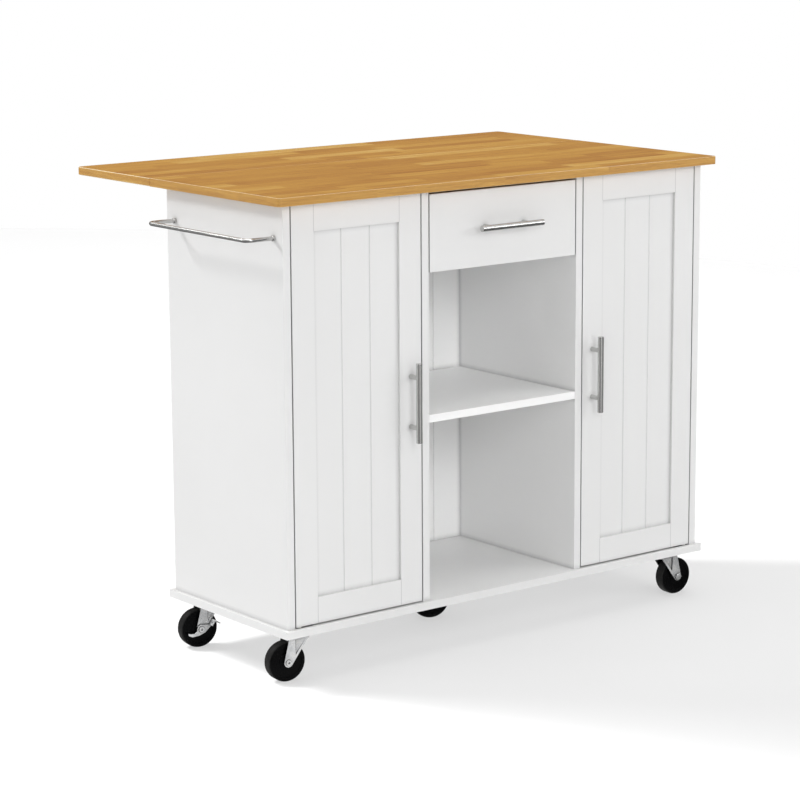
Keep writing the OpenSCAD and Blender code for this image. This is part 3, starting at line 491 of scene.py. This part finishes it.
def head_shape(radius, height):
    """Vertices and faces of a domed screw head with a cross recess, facing +z."""
    points, faces = [], []
    for share, rise in HEAD_RINGS:
        for k in range(HEAD_CORNERS):
            angle = 2 * math.pi * k / HEAD_CORNERS
            x, y = share * math.cos(angle), share * math.sin(angle)
            in_cross = share < RECESS_REACH and min(abs(x), abs(y)) < RECESS_HALF_WIDTH
            points.append((x * radius, y * radius, (rise - (RECESS_DEPTH if in_cross else 0.0)) * height))
    points.append((0.0, 0.0, (1.0 - RECESS_DEPTH) * height))
    for ring in range(len(HEAD_RINGS) - 1):
        for k in range(HEAD_CORNERS):
            low, low_next = ring * HEAD_CORNERS + k, ring * HEAD_CORNERS + (k + 1) % HEAD_CORNERS
            faces.append((low, low_next, low_next + HEAD_CORNERS, low + HEAD_CORNERS))
    last = (len(HEAD_RINGS) - 1) * HEAD_CORNERS
    faces += [(last + k, last + (k + 1) % HEAD_CORNERS, len(points) - 1) for k in range(HEAD_CORNERS)]
    faces.append(tuple(reversed(range(HEAD_CORNERS))))
    return points, faces


def screw_heads(name, body, outward, places, radius, height):
    """One piece of all the screw heads of a part. outward is the direction that the heads face."""
    points, faces = head_shape(radius, height)
    turn = Vector((0, 0, 1)).rotation_difference(Vector(outward)).to_matrix()
    all_points, all_faces = [], []
    for number, place in enumerate(places):
        spin = Matrix.Rotation(FIRST_TURN + TURN_STEP * number, 3, "Z")
        start = len(all_points)
        all_points += [turn @ (spin @ Vector(p)) + Vector(place) for p in points]
        all_faces += [tuple(start + k for k in face) for face in faces]
    mesh = bpy.data.meshes.new(name)
    mesh.from_pydata(all_points, [], all_faces)
    mesh.polygons.foreach_set("use_smooth", [True] * len(mesh.polygons))
    made = bpy.data.objects.new(name, mesh)
    bpy.context.scene.collection.objects.link(made)
    made.data.materials.append(finishes["zinc_steel"])
    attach(made, body)
    return made


def middle(node_name):
    low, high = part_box(node_name)
    return (low + high) / 2


DIVIDER_SHARES = (0.06, 0.28, 0.5, 0.72)          # screws up each divider, and along the top rail
RAIL_SHARES = (0.03, 0.2, 0.4, 0.6, 0.8, 0.97)
back_low, back_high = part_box("back_panel")
back_face = back_high.y
back_places = [(middle(f"divider_{side}").x, back_face, back_low.z + share * (back_high.z - back_low.z))
               for side in ("left", "right") for share in DIVIDER_SHARES]
rail_z = middle("top_rails").z
back_places += [(back_low.x + share * (back_high.x - back_low.x), back_face, rail_z)
                for share in RAIL_SHARES]
screw_heads("back_panel_screws", "cabinet", (0, 1, 0), back_places, *BACK_SCREW)

BRACKET_HALF_WIDTH, BRACKET_THICKNESS, BRACKET_SCREW_REACH = 0.017, 0.002, 0.021
wall_low, wall_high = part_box("brace_wall_brackets")
wall_mid_z = (wall_low.z + wall_high.z) / 2
screw_heads("wall_bracket_screws", "cabinet", (0, 1, 0),
            [(x, back_face + BRACKET_THICKNESS, wall_mid_z + way * BRACKET_SCREW_REACH)
             for x in (wall_low.x + BRACKET_HALF_WIDTH, wall_high.x - BRACKET_HALF_WIDTH) for way in (-1, 1)],
            *BRACKET_SCREW)
leaf_low, leaf_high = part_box("brace_leaf_brackets")
leaf_mid_y = (leaf_low.y + leaf_high.y) / 2
screw_heads("leaf_bracket_screws", "leaf", (0, 0, -1),
            [(x, leaf_mid_y + way * BRACKET_SCREW_REACH, leaf_high.z - BRACKET_THICKNESS)
             for x in (leaf_low.x + BRACKET_HALF_WIDTH, leaf_high.x - BRACKET_HALF_WIDTH) for way in (-1, 1)],
            *BRACKET_SCREW)

HINGE_HALF_WIDTH, HINGE_THICKNESS, HINGE_HOLE_OFFSET = 0.030, 0.0015, 0.020
BARREL_REACH = 0.0034
seam_y = (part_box("worktop")[1].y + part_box("drop_leaf")[0].y) / 2
for name, body, node_name, way in (("hinge_plate_screws", "cabinet", "leaf_hinge_plates", -1),
                                   ("hinge_flap_screws", "leaf", "leaf_hinge_flaps", 1)):
    low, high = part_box(node_name)
    far_y = high.y if way > 0 else low.y
    y = (far_y + seam_y + way * BARREL_REACH) / 2
    centres = (low.x + HINGE_HALF_WIDTH, (low.x + high.x) / 2, high.x - HINGE_HALF_WIDTH)
    screw_heads(name, body, (0, 0, -1),
                [(x + side * HINGE_HOLE_OFFSET, y, high.z - HINGE_THICKNESS)
                 for x in centres for side in (-1, 1)],
                *HINGE_SCREW)


# ---------------------------------------------------------------- floor

LIGHT_FOOT = Vector((-1.30, 1.60, 0.0))           # under the light that casts the shadow on the floor
FLOOR_RADIUS = 5.5
FLOOR_CORNERS = 96
FLOOR_GLOW = 0.51             # lifts the lit floor to white in the picture
FLOOR_GLOW_ON_OBJECT = 0.24   # the part of it that lights the object
FLOOR_IN_MIRROR = (0.03, 0.03, 0.03, 1.0)
DARK_IN_MIRROR = (0.05, 0.05, 0.05, 1.0)
MIRROR_REACH = 4.0            # the metres that the stops below count from 0 to 1
NEAR_ENDS, DARK_STARTS = 0.09, 0.13
DARK_ENDS, FAR_STARTS = 0.38, 0.50
FAR_BANDS = [(0.0, 0.5), (0.05, 0.35), (0.12, 0.22), (0.17, 0.30), (0.20, 0.9), (0.26, 0.9),
             (0.29, 0.20), (0.40, 0.35), (0.46, 0.6), (0.52, 0.25), (0.80, 0.25), (1.0, 0.5)]


def disc(name, centre, radius, corners):
    """A flat round plate, as one face."""
    ring = [(centre.x + radius * math.cos(2 * math.pi * k / corners),
             centre.y + radius * math.sin(2 * math.pi * k / corners), centre.z) for k in range(corners)]
    mesh = bpy.data.meshes.new(name)
    mesh.from_pydata(ring, [], [tuple(range(corners))])
    made = bpy.data.objects.new(name, mesh)
    bpy.context.scene.collection.objects.link(made)
    return made


def mirrored_floor(tree, distance):
    """What polished metal sees in the floor: bright patches close by, then dark, and grey bands far off."""
    place = object_place(tree)
    reach = math_node(tree, "DIVIDE", distance, MIRROR_REACH)
    patches = ramp(tree, noise(tree, place, 7.0, 1.0), [(0.40, 0.10), (0.56, 0.90)])
    is_dark = ramp(tree, reach, [(NEAR_ENDS, 0.0), (DARK_STARTS, 1.0)])
    near = blend_colors(tree, is_dark, patches, DARK_IN_MIRROR)
    around = add(tree, "TexGradient", {"Vector": place}, gradient_type="RADIAL").outputs[0]
    is_far = add(tree, "MapRange", {"Value": reach, "From Min": DARK_ENDS, "From Max": FAR_STARTS}).outputs[0]
    return blend_colors(tree, is_far, near, ramp(tree, around, FAR_BANDS))


def pale_floor():
    """A matt pale floor that glows enough to stay white wherever no shadow falls on it."""
    material, tree, shader = new_material("pale_floor", Specular_IOR_Level=0.1, Emission_Strength=1.0)
    grain = noise(tree, object_place(tree), 6.0, 2.0)
    rays = add(tree, "LightPath").outputs
    in_mirror = rays["Is Glossy Ray"]
    base = blend_colors(tree, in_mirror, ramp(tree, grain, [(0.3, 0.35), (0.7, 0.355)]), FLOOR_IN_MIRROR)
    glow = span(tree, rays["Is Diffuse Ray"], FLOOR_GLOW, FLOOR_GLOW_ON_OBJECT)
    glow = blend_colors(tree, in_mirror, glow, mirrored_floor(tree, rays["Ray Length"]))
    feed(tree, shader, Base_Color=base, Roughness=span(tree, grain, 0.85, 0.95), Emission_Color=glow)
    return material


floor = disc("floor", Vector((LIGHT_FOOT.x, LIGHT_FOOT.y, cad_box[0].z)), FLOOR_RADIUS, FLOOR_CORNERS)
floor.data.materials.append(pale_floor())


# ---------------------------------------------------------------- world

WORLD_FOR_DIFFUSE = 0.39
WHITE = (1.0, 1.0, 1.0, 1.0)
OVERHEAD_FROM, OVERHEAD_TO = 0.35, 0.60           # heights where the side softboxes give way to the top
SOFTBOXES = [(0.0, 0.6), (0.03, 0.6), (0.07, 0.05), (0.17, 0.05), (0.21, 0.9), (0.27, 0.9), (0.31, 0.05),
             (0.40, 0.05), (0.44, 0.5), (0.48, 0.5), (0.52, 0.04), (0.80, 0.04), (0.88, 0.6), (1.0, 0.6)]


def studio_world():
    """White behind the object, an even grey for soft light, and softboxes in the reflections."""
    world = bpy.data.worlds.new("studio")
    world.use_nodes = True
    sky = world.node_tree
    direction = add(sky, "TexCoord").outputs["Generated"]
    turn = add(sky, "TexGradient", {"Vector": direction}, gradient_type="RADIAL").outputs[0]
    height = add(sky, "SeparateXYZ", {0: direction}).outputs[2]
    limits = {"Value": height, "From Min": OVERHEAD_FROM, "From Max": OVERHEAD_TO}
    overhead = add(sky, "MapRange", limits).outputs[0]
    boxes = blend_colors(sky, overhead, ramp(sky, turn, SOFTBOXES), WHITE)
    rays = add(sky, "LightPath").outputs
    seen = blend_colors(sky, rays["Is Glossy Ray"], (*([WORLD_FOR_DIFFUSE] * 3), 1.0), boxes)
    seen = blend_colors(sky, rays["Is Camera Ray"], seen, WHITE)
    sky.links.new(seen, sky.nodes["Background"].inputs["Color"])
    return world


bpy.context.scene.world = studio_world()


# ---------------------------------------------------------------- lights

MIDDLE = (0.0, 0.0, 0.5)
SHADOW_LIGHT_HEIGHT = 2.3
BAY_PIECES = [frame["nodes"][name] for name in ("back_panel", "centre_shelf")]
LIGHTS = [  # name, kind, place, power, size or angle, the pieces that it lights if not all
    ("floor_light", "POINT", LIGHT_FOOT + Vector((0.0, 0.0, SHADOW_LIGHT_HEIGHT)), 43.0, 0.34, [floor]),
    ("key_light", "AREA", (-2.4, 2.3, 3.0), 4.5, 0.8, ()),
    ("front_light", "AREA", (-1.2, -4.2, 2.7), 1.1, 1.4, ()),
    ("low_front_light", "AREA", (-0.6, -4.8, 1.2), 0.8, 1.4, ()),
    ("camera_side_light", "AREA", (-3.2, -3.2, 1.3), 0.9, 1.4, ()),
    ("right_light", "AREA", (2.1, -2.5, 1.5), 16.0, 1.0, ()),
    ("bay_light", "AREA", (-0.7, -3.0, 1.7), 2.0, 1.0, BAY_PIECES),
    ("top_light", "SUN", (0.0, 0.0, 4.0), 1.1, math.radians(50), ()),
]
FADING_LIGHTS = ("right_light", "top_light")      # the others are as strong near as far
SIZE_SETTING = {"SUN": "angle", "AREA": "size", "POINT": "shadow_soft_size"}


def even_over_distance(data):
    data.use_nodes = True
    tree = data.node_tree
    falloff = add(tree, "LightFalloff", {"Strength": 1.0})
    tree.links.new(falloff.outputs["Constant"], tree.nodes["Emission"].inputs["Strength"])


for name, kind, place, power, size, only_for in LIGHTS:
    data = bpy.data.lights.new(name, kind)
    data.energy = power
    setattr(data, SIZE_SETTING[kind], size)
    if name not in FADING_LIGHTS:
        even_over_distance(data)
    lamp = bpy.data.objects.new(name, data)
    bpy.context.scene.collection.objects.link(lamp)
    lamp.location = place
    lamp.rotation_mode = "QUATERNION"
    lamp.rotation_quaternion = (Vector(MIDDLE) - Vector(place)).to_track_quat("-Z", "Y")
    if only_for:
        receivers = bpy.data.collections.new(name + "_receivers")
        for receiver in only_for:
            receivers.objects.link(receiver)
        lamp.light_linking.receiver_collection = receivers


# ---------------------------------------------------------------- camera

CAMERA_PLACE = Vector((-3.2847, -4.2366, 1.4958))
CAMERA_AZIMUTH = math.radians(-37.89)
CAMERA_ELEVATION = math.radians(11.22)
CAMERA_ROLL = math.radians(-0.3455)
camera_data = bpy.data.cameras.new("photo_camera")
camera_data.sensor_width = 36.0
camera_data.lens = 121.74
camera_data.clip_end = 100.0
camera = bpy.data.objects.new("photo_camera", camera_data)
bpy.context.scene.collection.objects.link(camera)
backward = Vector((math.sin(CAMERA_AZIMUTH) * math.cos(CAMERA_ELEVATION),
                   -math.cos(CAMERA_AZIMUTH) * math.cos(CAMERA_ELEVATION), math.sin(CAMERA_ELEVATION)))
level = Vector((math.cos(CAMERA_AZIMUTH), math.sin(CAMERA_AZIMUTH), 0.0))
rightward = level * math.cos(CAMERA_ROLL) + backward.cross(level) * math.sin(CAMERA_ROLL)
axes = Matrix((rightward, backward.cross(rightward), backward)).transposed()
camera.matrix_world = Matrix.LocRotScale(CAMERA_PLACE, axes.to_quaternion(), None)
bpy.context.scene.camera = camera
bpy.context.scene.view_settings.view_transform = "Standard"
